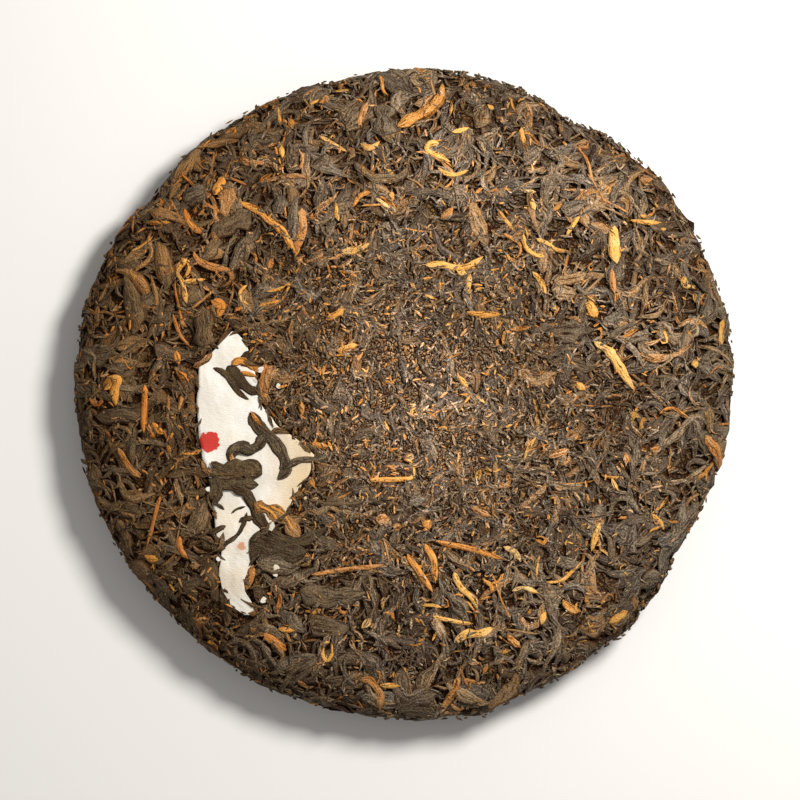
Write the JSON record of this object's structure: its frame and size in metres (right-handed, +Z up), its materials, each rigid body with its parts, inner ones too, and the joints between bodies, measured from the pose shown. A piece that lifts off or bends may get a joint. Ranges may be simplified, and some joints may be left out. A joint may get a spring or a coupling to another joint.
{
  "type": "ripe pu-erh tea cake",
  "caption": "Round pressed cake of dark curled tea leaves lying on its back, with a gently domed face, a rounded rim, a knot dimple in the back and a torn paper slip pressed into the face.",
  "frame": {"origin": "the middle of the cake's box, on the surface that the back of the cake lies on", "axes": "+Z is up, out of the face. +X is the right of the face and +Y its top, as the cake is seen from above."},
  "size_m": [0.2039, 0.2011, 0.0264],
  "materials": {
    "tea_leaf": "dry dark brown curled tea leaves and golden buds, pressed together, with a faint waxy sheen on the dark ones",
    "slip_paper": "thin creamy white paper with torn edges and light tea stains, matt"
  },
  "bodies": {
    "root": {"tea_cake": "tea_leaf", "paper_slip": "slip_paper"}
  },
  "joints": []
}
